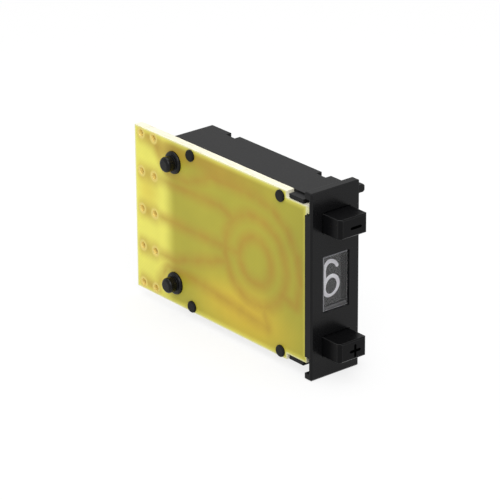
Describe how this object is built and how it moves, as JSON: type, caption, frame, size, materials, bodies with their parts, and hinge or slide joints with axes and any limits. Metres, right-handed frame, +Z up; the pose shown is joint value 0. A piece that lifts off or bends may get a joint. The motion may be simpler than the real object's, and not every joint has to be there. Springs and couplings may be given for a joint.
{
  "type": "thumbwheel switch",
  "caption": "Slim push-button thumbwheel switch unit: black case with bezel, dial window and plus and minus buttons, yellow circuit board with solder terminals behind.",
  "frame": {"origin": "middle of the bezel's width and height, on its back face, where the front of the panel seats", "axes": "+X to the right seen from the front, +Y from the bezel back to the terminals, +Z up"},
  "size_m": [0.0099, 0.0377, 0.0242],
  "materials": {
    "black_plastic": "fine moulded texture, satin",
    "clear_lens": "clear, polished",
    "board_laminate": "translucent yellow glass-fibre laminate",
    "copper": "etched and plated",
    "stud_plastic": "glossy moulded",
    "dial_plastic": "matt moulded",
    "natural_acetal": "natural moulded",
    "contact_brass": "stamped spring brass",
    "spring_steel": "spring temper",
    "button_plastic": "smooth moulded",
    "dial_print": "white printed digits"
  },
  "bodies": {
    "case": {"housing": "black_plastic", "window_lens": "clear_lens", "circuit_board": "board_laminate", "contact_tracks": "copper", "coupling_studs": "stud_plastic", "detent_spring": "spring_steel", "minus_return_spring": "spring_steel", "plus_return_spring": "spring_steel"},
    "wheel": {"number_wheel": "dial_plastic", "star_wheel": "natural_acetal", "wiper": "contact_brass"},
    "minus_key": {"minus_button": "button_plastic", "minus_pawl": "spring_steel"},
    "plus_key": {"plus_button": "button_plastic", "plus_pawl": "spring_steel"}
  },
  "joints": [
    {"name": "wheel_turn", "type": "hinge", "parent": "case", "child": "wheel", "pos_m": [0, 0.0097, 0], "axis": [1, 0, 0], "continuous": true, "deforming": ["detent_spring"]},
    {"name": "minus_press", "type": "slide", "parent": "case", "child": "minus_key", "axis": [0, 1, 0], "range_m": [0, 0.002], "stiffness_N_per_m": 400, "springref_m": -0.002, "deforming": ["minus_return_spring", "minus_pawl"]},
    {"name": "plus_press", "type": "slide", "parent": "case", "child": "plus_key", "axis": [0, 1, 0], "range_m": [0, 0.002], "stiffness_N_per_m": 400, "springref_m": -0.002, "deforming": ["plus_return_spring", "plus_pawl"]}
  ]
}
